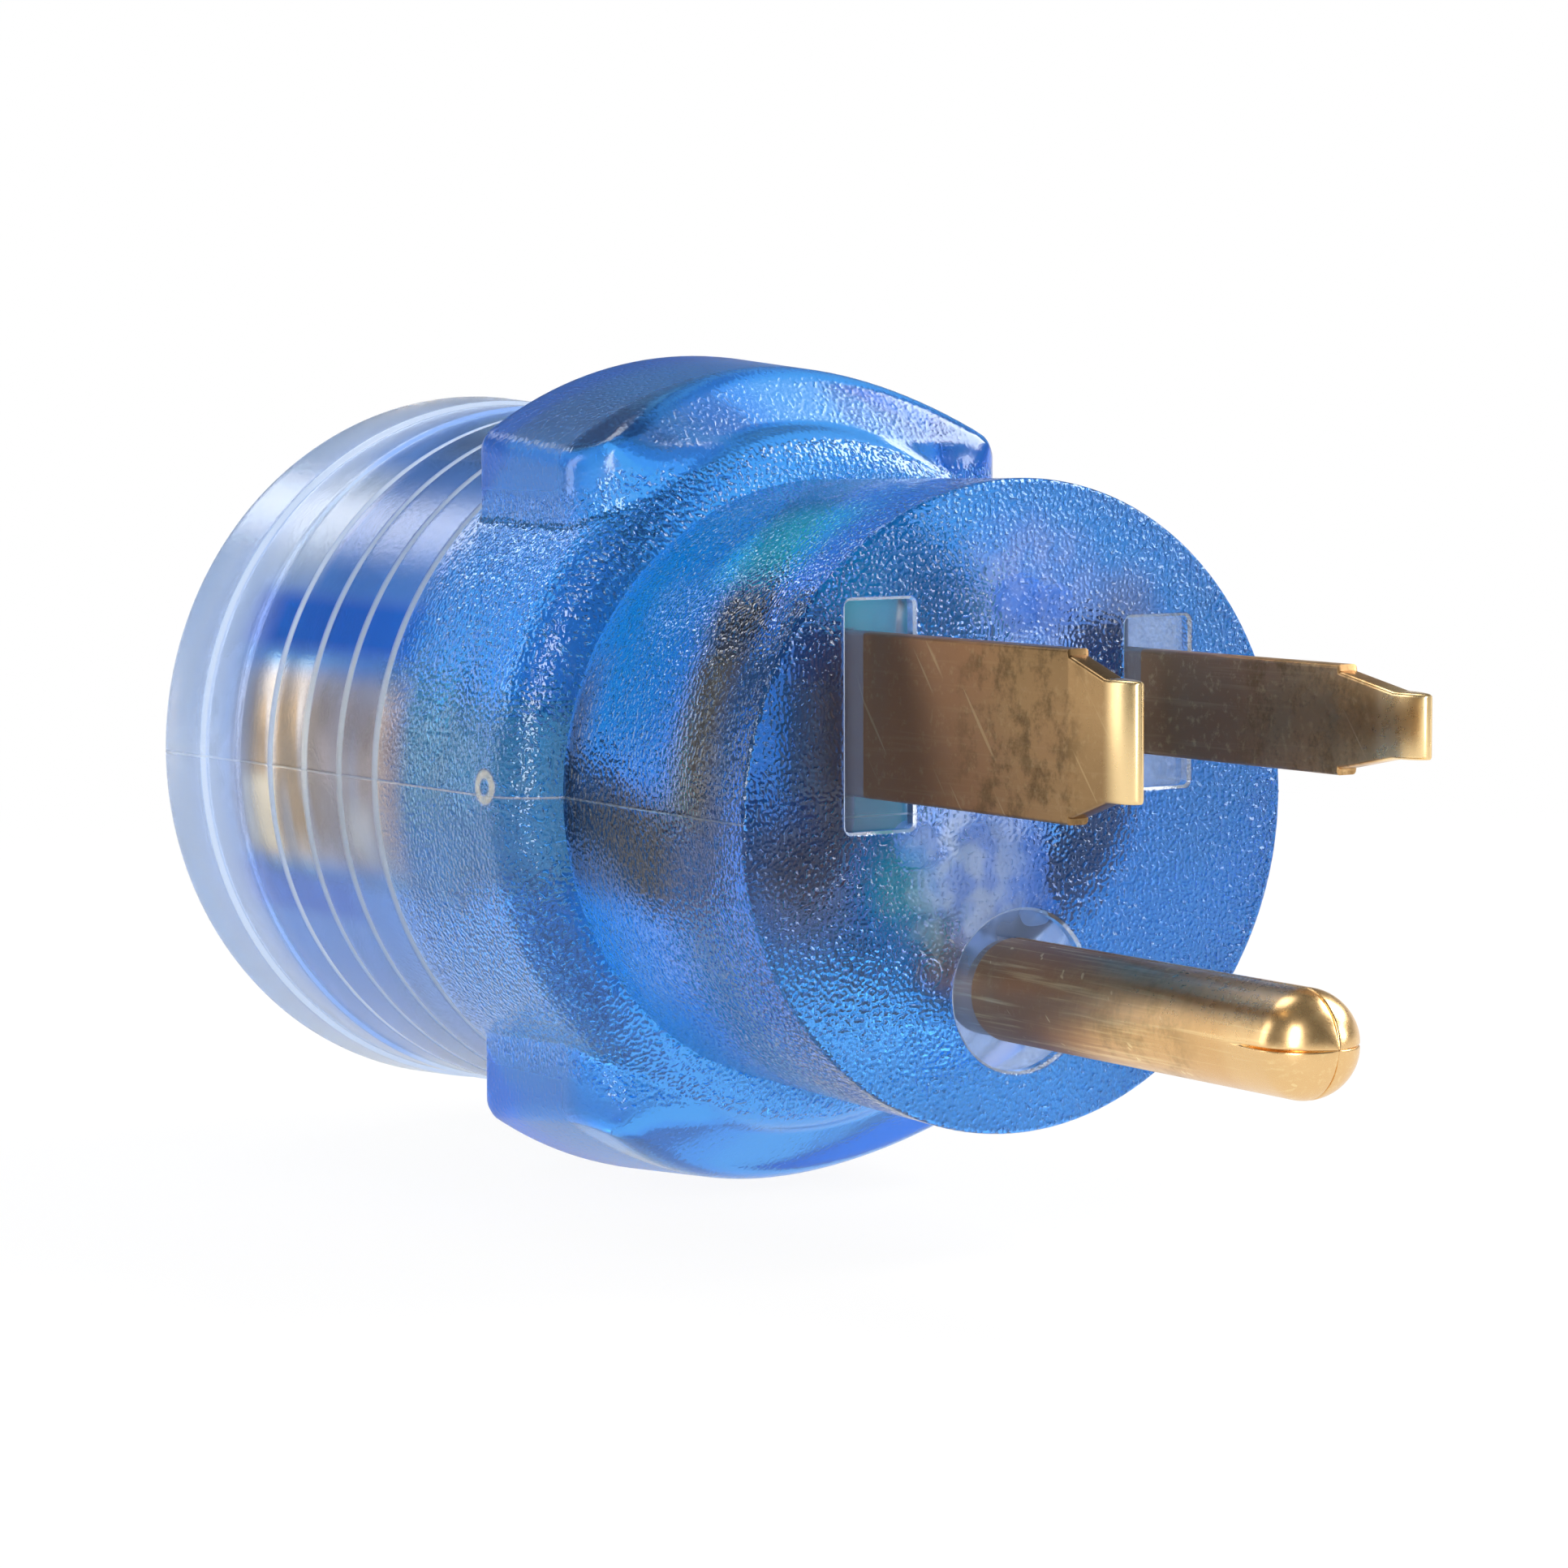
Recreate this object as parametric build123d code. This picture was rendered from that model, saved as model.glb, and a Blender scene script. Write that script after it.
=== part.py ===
from build123d import *
from math import atan2, cos, degrees, radians, sin, tan
import os

# Generator plug adapter: a straight-blade grounded plug moulded in one body with a locking outlet.
# Millimetres. The plug face is the plane y = 0, the prongs point along -Y, the body runs along +Y, +Z is up.

# Nose and shoulder of the overmoulded body
nose_face_radius = 24.64
nose_base_radius = 24.1
nose_length = 26.9
nose_edge_round = 0.4

# Barrel with its fine grooves, and the stepped rim at the outlet end
barrel_front_radius = 28.5
barrel_rear_radius = 29.4
body_length = 86.4
groove_first_y = 48.9
groove_pitch = 6.0
groove_count = 4
groove_width = 0.9
groove_depth = 0.3
collar_y = 72.3
collar_step = 0.35
rim_y = 78.0
rim_step = 0.4
rim_radius = 30.5
rim_edge_round = 2.2
step_length = 0.5

# Grip wings above and below the body
wing_half_width = 20.0
wing_front_y = 28.4
wing_rear_y = 47.5
wing_rear_radius = 34.0
wing_taper = 0.08
wing_crease_height = 26.0
wing_bevel_angle = 52.0
wing_corner_round = 5.6
wing_edge_round = 0.9

# Prongs: two blades side by side, the round pin below them
blade_spacing = 25.4
blade_height = 7.42
blade_thickness = 1.8
wide_blade_width = 12.2
wide_blade_shoulder = 24.4
wide_blade_tip_width = 8.5
wide_blade_reach = 31.6
narrow_blade_width = 8.0
narrow_blade_shoulder = 22.5
narrow_blade_tip_width = 4.8
narrow_blade_reach = 31.6
blade_notch = 0.45
blade_fold_round = 0.85
blade_edge_round = 0.3
pin_drop = 21.25
pin_radius = 3.95
pin_wall = 1.1
pin_reach = 37.3
pin_seam = 0.14
pin_root_step = 0.2
petal_length = 6.0
prong_tail = 7.0

# Recesses round the prongs in the plug face
recess_depth = 1.0
recess_width = 6.0
wide_recess_height = 17.0
narrow_recess_height = 13.0
pin_recess_radius = 6.1

# Spacer that holds the prongs together inside the nose
bridge_y = 2.8
bridge_thickness = 3.0
bridge_margin = 2.6
bridge_corner_round = 1.5

# Clasps at the blades' tails, crimp barrels and wires
clasp_y = 12.6
clasp_wall = 0.6
clasp_drop = 6.5
wire_stub = 4.0
wire_level = -3.8
crimp_radius = 2.6
crimp_length = 8.0
crimp_neck = 2.0
crimp_neck_width = 4.0
neck_overlap = 0.8
conductor_radius = 1.5
insulation_radius = 2.7
strip_length = 7.0
end_bend_share = 0.9
bend_share = 0.45
wire_run_out = 4.5
wide_wire_corners = [(-13.4, 21, -4.4)]
ground_wire_corners = [(-4.5, 21, -3), (-7.6, 16.4, 12), (-6.8, 17, 17.3), (-3.2, 19.8, 19.3), (3, 25, 15.5)]

# Outlet: three contacts on one circle, as on a locking outlet
outlet_turn = 27.0
contact_circle_radius = 14.6
contact_gap = 3.2
contact_pinch_gap = 1.4
contact_mouth_gap = 2.9
contact_bend_setback = 9.0
contact_pinch_setback = 4.0
contact_leaf = 0.8
contact_half_angle = 24.0
contact_length = 34.0
contact_tail_half_angle = 19.0
spring_thickness = 0.4
spring_length = 12.0
spring_setback = 10.0
pocket_clearance = 0.2
pocket_side_clearance = 0.7
slot_width = 2.2
slot_half_angle = 19.0
hook_depth = 2.2
hook_half_angle = 4.0
carrier_radius = 20.5
carrier_recess = 1.2
carrier_wall = 5.0
carrier_front_gap = 1.0
cap_thickness = 3.5
cap_hole_clearance = 0.15

half_spacing = blade_spacing / 2
pin_height = blade_height - pin_drop
prong_crimp_y = prong_tail + crimp_neck
prong_wire_y = prong_crimp_y + crimp_length
clasp_low_z = blade_height - clasp_drop
clasp_high_z = blade_height + crimp_neck_width / 2
carrier_rear_y = body_length - carrier_recess
pocket_rear_y = carrier_rear_y - carrier_wall
contact_rear_y = pocket_rear_y - pocket_clearance
contact_base_y = contact_rear_y - contact_length
contact_wire_y = contact_base_y - crimp_neck - crimp_length
carrier_front_y = contact_wire_y - carrier_front_gap
cap_front_y = carrier_front_y - cap_thickness
leaf_offset = contact_gap / 2 + contact_leaf
shoulder_round = barrel_front_radius - nose_base_radius
barrel_front_y = nose_length + shoulder_round


def across(y):
    """Plane square to the body's axis, with its own x along +Z and its own y along +X."""
    return Plane(origin=(0, y, 0), x_dir=(0, 0, 1), z_dir=(0, 1, 0))


def clock_point(angle, y):
    """Point of the contact circle at an angle clockwise from the top, seen from the plug face."""
    x = contact_circle_radius * sin(radians(angle))
    z = contact_circle_radius * cos(radians(angle))
    return (x, y, z)


def round_bar(centre_x, centre_z, radius, y0, y1):
    """Cylinder along the body's axis between two stations."""
    disc = across(y0) * Pos(centre_z, centre_x) * Circle(radius)
    return extrude(disc, y1 - y0)


def upright_bar(centre_x, centre_z, width, height, y0, y1):
    """Bar of rectangular section along the body's axis between two stations."""
    section = across(y0) * Pos(centre_z, centre_x) * Rectangle(height, width)
    return extrude(section, y1 - y0)


def swept_profile(corners, middle_angle, half_angle):
    """Profile of radii and stations, turned about the body's axis to both sides of a clock angle."""
    profile = make_face(Polyline(*corners, close=True).edges())
    return Rot(0, middle_angle - half_angle - 90, 0) * revolve(profile, Axis.Y, 2 * half_angle)


def sector(inner_radius, outer_radius, middle_angle, half_angle, y0, y1):
    """Part of a ring about the body's axis between two stations."""
    corners = [(inner_radius, y0), (outer_radius, y0), (outer_radius, y1), (inner_radius, y1)]
    return swept_profile(corners, middle_angle, half_angle)


# Overmoulded body
def barrel_radius(y):
    """The barrel widens evenly from the shoulder to its collar."""
    share = (y - barrel_front_y) / (collar_y - barrel_front_y)
    return barrel_front_radius + share * (barrel_rear_radius - barrel_front_radius)


def turned_body():
    """Nose, round shoulder, grooved barrel and stepped rim, turned about the axis."""
    nose = [(0, 0), (nose_face_radius, 0), (nose_base_radius, nose_length)]
    barrel = [(barrel_front_radius, barrel_front_y)]
    for i in range(groove_count):
        middle = groove_first_y + i * groove_pitch
        front = middle - groove_width / 2
        rear = middle + groove_width / 2
        barrel.append((barrel_radius(front), front))
        barrel.append((barrel_radius(middle) - groove_depth, middle))
        barrel.append((barrel_radius(rear), rear))
    collar_radius = barrel_rear_radius + collar_step
    barrel.append((barrel_rear_radius, collar_y))
    barrel.append((collar_radius, collar_y + step_length))
    barrel.append((collar_radius, rim_y))
    barrel.append((collar_radius + rim_step, rim_y + step_length))
    barrel.append((rim_radius, body_length - rim_edge_round))
    end = [(rim_radius - rim_edge_round, body_length), (0, body_length), (0, 0)]
    shoulder = CenterArc((nose_base_radius, barrel_front_y), shoulder_round, -90, 90)
    rim_edge = CenterArc((end[0][0], body_length - rim_edge_round), rim_edge_round, 0, 90)
    edges = Polyline(*nose).edges() + shoulder.edges() + Polyline(*barrel).edges()
    edges += rim_edge.edges() + Polyline(*end).edges()
    body = revolve(make_face(edges), Axis.Y)
    front_edge = body.edges().filter_by(GeomType.CIRCLE).sort_by(Axis.Y)[0]
    return fillet(front_edge, nose_edge_round)


def top_wing():
    """Grip wing: straight ends, round top, and a bevelled front that starts at a level crease."""
    depth = wing_rear_y - wing_front_y
    plan = Pos(0, wing_front_y + depth / 2) * Rectangle(2 * wing_half_width, depth)
    plan = fillet(plan.vertices().sort_by(Axis.Y)[:2], wing_corner_round)
    block = extrude(plan, wing_rear_radius)
    front_radius = wing_rear_radius - wing_taper * depth
    crown_points = [
        (0, wing_front_y),
        (front_radius, wing_front_y),
        (wing_rear_radius, wing_rear_y),
        (0, wing_rear_y),
    ]
    crown = revolve(make_face(Polyline(*crown_points, close=True).edges()), Axis.Y)
    bevel_rise = wing_rear_radius - wing_crease_height
    bevel_y = wing_front_y + bevel_rise / tan(radians(wing_bevel_angle))
    side_points = [
        (wing_front_y, 0),
        (wing_front_y, wing_crease_height),
        (bevel_y, wing_rear_radius),
        (wing_rear_y, wing_rear_radius),
        (wing_rear_y, 0),
    ]
    side_face = Plane.YZ * make_face(Polyline(*side_points, close=True).edges())
    side = extrude(side_face, wing_half_width, both=True)
    wing = block & crown & side
    upper = [edge for edge in wing.edges() if edge.center().Z > wing_crease_height - wing_edge_round]
    return fillet(upper, wing_edge_round)


def face_recesses():
    """Shallow pockets in the plug face round the two blades and the pin."""
    wide = upright_bar(-half_spacing, blade_height, recess_width, wide_recess_height, 0, recess_depth)
    narrow = upright_bar(half_spacing, blade_height, recess_width, narrow_recess_height, 0, recess_depth)
    pin = round_bar(0, pin_height, pin_recess_radius, 0, recess_depth)
    return [wide, narrow, pin]


# Prongs
def blade_plate(x, width, shoulder, tip_width, reach):
    """Flat of a folded blade, with a notched shoulder, a taper and a round fold at the tip."""
    half = width / 2
    neck = crimp_neck_width / 2
    upper = [
        (clasp_y, neck),
        (prong_tail, neck),
        (prong_tail, half),
        (-shoulder, half),
        (-shoulder, half - blade_notch),
        (-reach, tip_width / 2),
    ]
    lower = [(y, -z) for y, z in reversed(upper)]
    outline = Plane(origin=(x, 0, blade_height), x_dir=(0, 1, 0), z_dir=(1, 0, 0)) * make_face(
        Polyline(*upper, *lower, close=True).edges()
    )
    plate = extrude(outline, blade_thickness / 2, both=True)
    tip_edges = plate.edges().filter_by(Axis.Z).sort_by(Axis.Y)[:2]
    plate = fillet(tip_edges, blade_fold_round)
    long_edges = [edge for edge in plate.edges().filter_by(Axis.Y) if edge.length > shoulder]
    return fillet(long_edges, blade_edge_round)


def clasp(x, radius):
    """Upright cylinder behind a blade's tail, about the axis of its wire."""
    disc = Pos(x, clasp_y, clasp_low_z) * Circle(radius)
    return extrude(disc, clasp_high_z - clasp_low_z)


def blade(x, width, shoulder, tip_width, reach):
    """Blade in one piece with the clasp that is rolled round its wire."""
    plate = blade_plate(x, width, shoulder, tip_width, reach)
    return plate + clasp(x, insulation_radius + clasp_wall) - clasp(x, insulation_radius)


def pin_shape(shell_wall):
    """Round pin with a domed tip, a necked tail and a crimp barrel, turned about its own axis."""
    radius = pin_radius - shell_wall
    tail_radius = crimp_radius if shell_wall == 0 else conductor_radius
    dome_y = pin_radius - pin_reach
    root_radius = radius - pin_root_step
    points = [
        (radius, dome_y),
        (radius, recess_depth),
        (root_radius, recess_depth),
        (root_radius, prong_tail),
        (tail_radius, prong_crimp_y),
        (tail_radius, prong_wire_y),
        (0, prong_wire_y),
        (0, dome_y - radius),
    ]
    dome = CenterArc((0, dome_y), radius, -90, 90)
    turned = revolve(make_face(dome.edges() + Polyline(*points).edges()), Axis.Y)
    return Pos(0, 0, pin_height) * turned


def ground_pin():
    """Tube rolled from sheet: a seam along the top, and four petals folded in at the tip."""
    tube = pin_shape(0) - pin_shape(pin_wall)
    seam_length = pin_reach + prong_tail
    seam_y = prong_tail - seam_length / 2
    seam = Pos(0, seam_y, pin_height + pin_radius) * Box(pin_seam, seam_length, 2 * pin_radius)
    petals_y = petal_length / 2 - pin_reach
    slit = Pos(0, petals_y, pin_height) * Box(pin_seam, petal_length, 2 * pin_radius)
    cross_slit = Pos(0, petals_y, pin_height) * Box(2 * pin_radius, petal_length, pin_seam)
    return tube - seam - slit - cross_slit


def prong_bridge(prongs):
    """Spacer plate with a pad round each prong and a web to join them."""
    rear = bridge_y + bridge_thickness
    pad_width = blade_thickness + 2 * bridge_margin
    wide_height = wide_blade_width + 2 * bridge_margin
    narrow_height = narrow_blade_width + 2 * bridge_margin
    pads = [
        upright_bar(-half_spacing, blade_height, pad_width, wide_height, bridge_y, rear),
        upright_bar(half_spacing, blade_height, pad_width, narrow_height, bridge_y, rear),
        round_bar(0, pin_height, pin_radius + bridge_margin, bridge_y, rear),
        upright_bar(0, blade_height, blade_spacing, pad_width, bridge_y, rear),
        upright_bar(0, (blade_height + pin_height) / 2, pad_width, pin_drop, bridge_y, rear),
    ]
    plate = pads[0] + pads[1:]
    corners = plate.edges().filter_by(Axis.Y).filter_by(GeomType.LINE)
    outer_corners = [edge for edge in corners if abs(edge.center().X) > half_spacing]
    plate = fillet(outer_corners, bridge_corner_round)
    return plate - prongs


# Wires
def wire_start(x):
    """Start of a blade's wire: down through the clasp, then bent to the rear."""
    top = Vector(x, clasp_y, clasp_high_z + wire_stub)
    return [top, Vector(x, clasp_y, wire_level)]


def wire_bends(points, first_room):
    """Bend radii of a route: each bend is as large as the runs beside it allow."""
    runs = [b - a for a, b in zip(points, points[1:])]
    rooms = [first_room] + [bend_share * run.length for run in runs[1:-1]] + [end_bend_share * wire_run_out]
    radii = []
    for i in range(len(runs) - 1):
        room = min(rooms[i], rooms[i + 1])
        radii.append(room / tan(radians(runs[i].get_angle(runs[i + 1]) / 2)))
    return radii


def wire_tube(points, radii, radius, start_extra, end_extra):
    """Round tube along a route, longer than it at each end by an extra length."""
    start = points[0] + (points[0] - points[1]).normalized() * start_extra
    end = points[-1] + (points[-1] - points[-2]).normalized() * end_extra
    path = FilletPolyline(start, *points[1:-1], end, radius=radii)
    section = Plane(origin=start, z_dir=points[1] - points[0]) * Circle(radius)
    return sweep(section, path=path)


# Outlet
def contact_leaf_section(side):
    """Section of a leaf along the axis: straight, pinched in, then flared at its mouth."""
    stations = [
        (contact_base_y, contact_gap),
        (contact_rear_y - contact_bend_setback, contact_gap),
        (contact_rear_y - contact_pinch_setback, contact_pinch_gap),
        (contact_rear_y, contact_mouth_gap),
    ]
    near = [(contact_circle_radius + side * gap / 2, y) for y, gap in stations]
    far = [(radius + side * contact_leaf, y) for radius, y in reversed(near)]
    return near + far


def contact(angle):
    """Two curved leaves on a web, with a tail, a neck and a crimp barrel, folded from one strip."""
    low = contact_circle_radius - leaf_offset
    high = contact_circle_radius + leaf_offset
    leaves = swept_profile(contact_leaf_section(-1), angle, contact_half_angle)
    leaves += swept_profile(contact_leaf_section(1), angle, contact_half_angle)
    web = sector(low, high, angle, contact_half_angle, contact_base_y, contact_base_y + contact_leaf)
    tail_y = contact_base_y + contact_leaf
    tail = sector(high - contact_leaf, high, angle, contact_tail_half_angle, contact_wire_y, tail_y)
    x, _, z = clock_point(angle, 0)
    neck_half_angle = degrees(atan2(crimp_neck_width / 2, contact_circle_radius))
    neck_y = contact_wire_y + crimp_length - neck_overlap
    neck = sector(
        contact_circle_radius - contact_leaf,
        contact_circle_radius + contact_leaf,
        angle,
        neck_half_angle,
        neck_y,
        contact_base_y,
    )
    barrel = round_bar(x, z, crimp_radius, contact_wire_y, contact_wire_y + crimp_length)
    bore = round_bar(x, z, conductor_radius, contact_wire_y, contact_wire_y + crimp_length)
    return leaves + web + tail + neck + barrel - bore


def contact_spring(angle):
    """Steel clip that wraps one side of a contact and presses its two leaves together."""
    low = contact_circle_radius - leaf_offset
    high = contact_circle_radius + leaf_offset
    rear = contact_rear_y - spring_setback
    front = rear - spring_length
    back_half_angle = degrees(spring_thickness / contact_circle_radius) / 2
    back_angle = angle + contact_half_angle + back_half_angle
    clip = sector(low - spring_thickness, low, angle, contact_half_angle, front, rear)
    clip += sector(high, high + spring_thickness, angle, contact_half_angle, front, rear)
    clip += sector(low - spring_thickness, high + spring_thickness, back_angle, back_half_angle, front, rear)
    return clip


def contact_carrier(angles):
    """Round block with a pocket right through it for each contact."""
    block = round_bar(0, 0, carrier_radius, carrier_front_y, pocket_rear_y)
    reach = leaf_offset + spring_thickness + pocket_clearance
    side = degrees((spring_thickness + pocket_side_clearance) / contact_circle_radius)
    low = contact_circle_radius - reach
    high = contact_circle_radius + reach
    half_angle = contact_half_angle + side
    pockets = []
    for angle in angles.values():
        pockets.append(sector(low, high, angle, half_angle, carrier_front_y, pocket_rear_y))
    return block - pockets


def outlet_face(angles):
    """Disc over the carrier with a curved slot for each contact; the ground slot has a hook."""
    disc = round_bar(0, 0, carrier_radius, pocket_rear_y, carrier_rear_y)
    slot_low = contact_circle_radius - slot_width / 2
    slot_high = contact_circle_radius + slot_width / 2
    slots = []
    for angle in angles.values():
        slots.append(sector(slot_low, slot_high, angle, slot_half_angle, pocket_rear_y, carrier_rear_y))
    hook_low = slot_low - hook_depth
    hook_angle = angles["ground"] - slot_half_angle + hook_half_angle
    hook = sector(hook_low, slot_low, hook_angle, hook_half_angle, pocket_rear_y, carrier_rear_y)
    return disc - slots - hook


def carrier_cap(angles):
    """Disc that closes the carrier, with a hole for each wire."""
    disc = round_bar(0, 0, carrier_radius, cap_front_y, carrier_front_y)
    holes = []
    for angle in angles.values():
        x, _, z = clock_point(angle, 0)
        hole_radius = insulation_radius + cap_hole_clearance
        holes.append(round_bar(x, z, hole_radius, cap_front_y, carrier_front_y))
    return disc - holes


# Assembly
wide_size = (
    -half_spacing,
    wide_blade_width,
    wide_blade_shoulder,
    wide_blade_tip_width,
    wide_blade_reach,
)
narrow_size = (
    half_spacing,
    narrow_blade_width,
    narrow_blade_shoulder,
    narrow_blade_tip_width,
    narrow_blade_reach,
)
contact_angles = {"wide": outlet_turn + 240, "narrow": outlet_turn + 120, "ground": outlet_turn}
wire_starts = {
    "wide": wire_start(-half_spacing),
    "narrow": wire_start(half_spacing),
    "ground": [Vector(0, prong_wire_y, pin_height), Vector(0, prong_wire_y + wire_run_out, pin_height)],
}
clasp_room = clasp_low_z - wire_level
start_rooms = {"wide": clasp_room, "narrow": clasp_room, "ground": end_bend_share * wire_run_out}
start_strips = {"wide": 0, "narrow": 0, "ground": strip_length}
wire_corners = {"wide": wide_wire_corners, "narrow": [], "ground": ground_wire_corners}

parts = {}
parts["wide_blade"] = blade(*wide_size)
parts["narrow_blade"] = blade(*narrow_size)
parts["ground_pin"] = ground_pin()
prong_fills = [blade_plate(*wide_size), blade_plate(*narrow_size), pin_shape(0)]
parts["prong_bridge"] = prong_bridge(prong_fills)
embedded = prong_fills + [parts["prong_bridge"]]
for x in (-half_spacing, half_spacing):
    embedded.append(clasp(x, insulation_radius + clasp_wall))
for name, start in wire_starts.items():
    angle = contact_angles[name]
    end = Vector(*clock_point(angle, contact_wire_y))
    corners = [Vector(*corner) for corner in wire_corners[name]]
    points = start + corners + [Vector(end.X, cap_front_y - wire_run_out, end.Z), end]
    radii = wire_bends(points, start_rooms[name])
    print(name, "wire bends", [round(radius, 1) for radius in radii])
    conductor = wire_tube(points, radii, conductor_radius, start_strips[name], strip_length)
    insulated = wire_tube(points, radii, insulation_radius, 0, 0)
    parts[f"{name}_wire_conductor"] = conductor
    parts[f"{name}_wire_insulation"] = insulated - conductor
    parts[f"{name}_contact"] = contact(angle)
    parts[f"{name}_contact_spring"] = contact_spring(angle)
    embedded.append(insulated)
parts["contact_carrier"] = contact_carrier(contact_angles)
parts["outlet_face"] = outlet_face(contact_angles)
parts["carrier_cap"] = carrier_cap(contact_angles)
socket = round_bar(0, 0, carrier_radius, cap_front_y, body_length)
wing = top_wing()
outside = turned_body() + wing + mirror(wing, Plane.XY)
parts["overmould_body"] = outside - face_recesses() - embedded - socket

os.makedirs("parts", exist_ok=True)
for node, shape in parts.items():
    export_step(shape, f"parts/{node}.step")
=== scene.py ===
from math import cos, pi, radians, sin, tan

import bmesh
import bpy
import numpy as np
from mathutils import Matrix, Vector, noise


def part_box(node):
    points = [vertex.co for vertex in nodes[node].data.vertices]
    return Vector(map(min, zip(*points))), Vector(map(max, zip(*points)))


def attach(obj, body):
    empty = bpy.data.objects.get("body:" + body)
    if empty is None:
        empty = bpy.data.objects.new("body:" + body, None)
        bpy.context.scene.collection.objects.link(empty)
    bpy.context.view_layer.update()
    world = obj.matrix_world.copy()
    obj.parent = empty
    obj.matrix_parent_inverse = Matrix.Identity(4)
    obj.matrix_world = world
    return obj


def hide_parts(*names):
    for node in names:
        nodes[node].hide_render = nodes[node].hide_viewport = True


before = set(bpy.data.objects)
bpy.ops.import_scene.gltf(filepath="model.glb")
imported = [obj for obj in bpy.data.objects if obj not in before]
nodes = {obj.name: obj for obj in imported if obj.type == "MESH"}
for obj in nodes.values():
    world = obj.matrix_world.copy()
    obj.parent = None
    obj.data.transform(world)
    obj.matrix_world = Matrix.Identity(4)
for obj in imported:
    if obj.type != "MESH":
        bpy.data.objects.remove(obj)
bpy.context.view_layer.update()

# Overmoulded body: one shot of soft, clear blue plastic moulded round the prongs, the wires and the outlet.
# It wets the clear carrier of the contacts and its cap, so nothing shows where they meet, and one skin
# stands for all three. The mould halves meet in a fine flash line at mid height.
mm = 0.001
body_low, body_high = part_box("overmould_body")
face_low, face_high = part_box("outlet_face")
body_length = body_high.y / mm
rim_radius = body_high.x / mm
socket_radius = face_high.x / mm
socket_front = face_low.y / mm
bedding = 0.04

nose_face_radius = 24.64
nose_base_radius = 24.1
nose_length = 26.9
nose_edge_round = 0.4
barrel_front_radius = 28.5
barrel_rear_radius = 29.4
barrel_front = nose_length + barrel_front_radius - nose_base_radius
groove_first = 48.9
groove_pitch = 6.0
groove_count = 4
groove_width = 0.9
groove_depth = 0.3
groove_last = groove_first + (groove_count - 1) * groove_pitch
collar_y = 72.3
collar_step = 0.35
rim_y = 78.0
rim_step = 0.4
step_length = 0.5
rim_edge_round = 2.2
mouth_round = 0.4
flash_height = 0.05
flash_width = 0.09
gate_place = (-28.74, 31.48, 0.69)
ejector_place = (-8.42, 0.0, -11.93)

wing_half_width = 20.0
wing_front = 28.4
wing_rear = 47.5
wing_rear_radius = 34.0
wing_taper = 0.08
wing_crease = 26.0
wing_bevel_angle = radians(52)
wing_corner_round = 5.6
wing_edge_round = 0.9
wing_foot_round = 0.35


def rounded(edge_round, *walls):
    """Common inside of several walls, each given as a distance, with the edges between them rounded."""
    nearest = np.maximum.reduce(walls)
    corner = np.sqrt(sum(np.maximum(wall + edge_round, 0) ** 2 for wall in walls)) - edge_round
    return np.where(nearest < -edge_round, nearest, corner)


def blended(inner_round, first, second):
    """Two forms joined, with the inner corner between them rounded."""
    nearest = np.minimum(first, second)
    first_room = np.maximum(inner_round - first, 0)
    second_room = np.maximum(inner_round - second, 0)
    corner = inner_round - np.hypot(first_room, second_room)
    return np.where(nearest > inner_round, nearest, corner)


def turned_radius(y):
    """Radius of the turned form at each station: nose, round shoulder, plain barrel and stepped rim."""
    nose = np.interp(y, [0, nose_length], [nose_face_radius, nose_base_radius])
    edge_room = np.clip(nose_edge_round - y, 0, nose_edge_round)
    nose = nose - nose_edge_round + np.sqrt(nose_edge_round**2 - edge_room**2)
    shoulder_round = barrel_front - nose_length
    shoulder_room = np.clip(barrel_front - y, 0, shoulder_round)
    shoulder = nose_base_radius + np.sqrt(shoulder_round**2 - shoulder_room**2)
    collar_radius = barrel_rear_radius + collar_step
    profile = [
        (barrel_front, barrel_front_radius),
        (collar_y, barrel_rear_radius),
        (collar_y + step_length, collar_radius),
        (rim_y, collar_radius),
        (rim_y + step_length, collar_radius + rim_step),
        (body_length - rim_edge_round, rim_radius),
    ]
    barrel = np.interp(y, *zip(*profile))
    past_edge = np.clip(y - body_length + rim_edge_round, 0, rim_edge_round)
    barrel = barrel - rim_edge_round + np.sqrt(rim_edge_round**2 - past_edge**2)
    return np.where(y < nose_length, nose, np.where(y < barrel_front, shoulder, barrel))


def moulded_form(x, y, z):
    """Distance-like measure of the outside of the body, below zero inside it."""
    radius = np.hypot(x, z)
    flash = flash_height * np.exp(-((z / flash_width) ** 2)) * (y < collar_y)
    turned = radius - turned_radius(y) - flash
    plan = rounded(wing_corner_round, np.abs(x) - wing_half_width, wing_front - y)
    crown = (radius - wing_rear_radius - wing_taper * (y - wing_rear)) / np.hypot(1, wing_taper)
    bevel = (np.abs(z) - wing_crease) * cos(wing_bevel_angle) - (y - wing_front) * sin(wing_bevel_angle)
    wing = rounded(wing_edge_round, plan, crown, bevel, y - wing_rear)
    return blended(wing_foot_round, turned, wing)


def spread(*marks):
    """Values in even steps through several stretches, each given as (start, end, count)."""
    return np.concatenate([np.linspace(start, end, count, endpoint=False) for start, end, count in marks])


def cast_rows(rows, angles, reach):
    """Skin points where rays (radius, station, tilt) from inside the body leave it, for each clock angle."""
    start_radius, start_y, tilt = (column[:, None] for column in rows.T)
    near = np.zeros((len(rows), len(angles)))
    far = np.full_like(near, reach)
    halvings = 36
    for _ in range(halvings):
        middle = (near + far) / 2
        radius = start_radius + middle * np.cos(tilt)
        y = start_y + middle * np.sin(tilt)
        inside = moulded_form(radius * np.sin(angles), y, radius * np.cos(angles)) < 0
        near = np.where(inside, middle, near)
        far = np.where(inside, far, middle)
    return start_radius + near * np.cos(tilt), start_y + near * np.sin(tilt)


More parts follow.
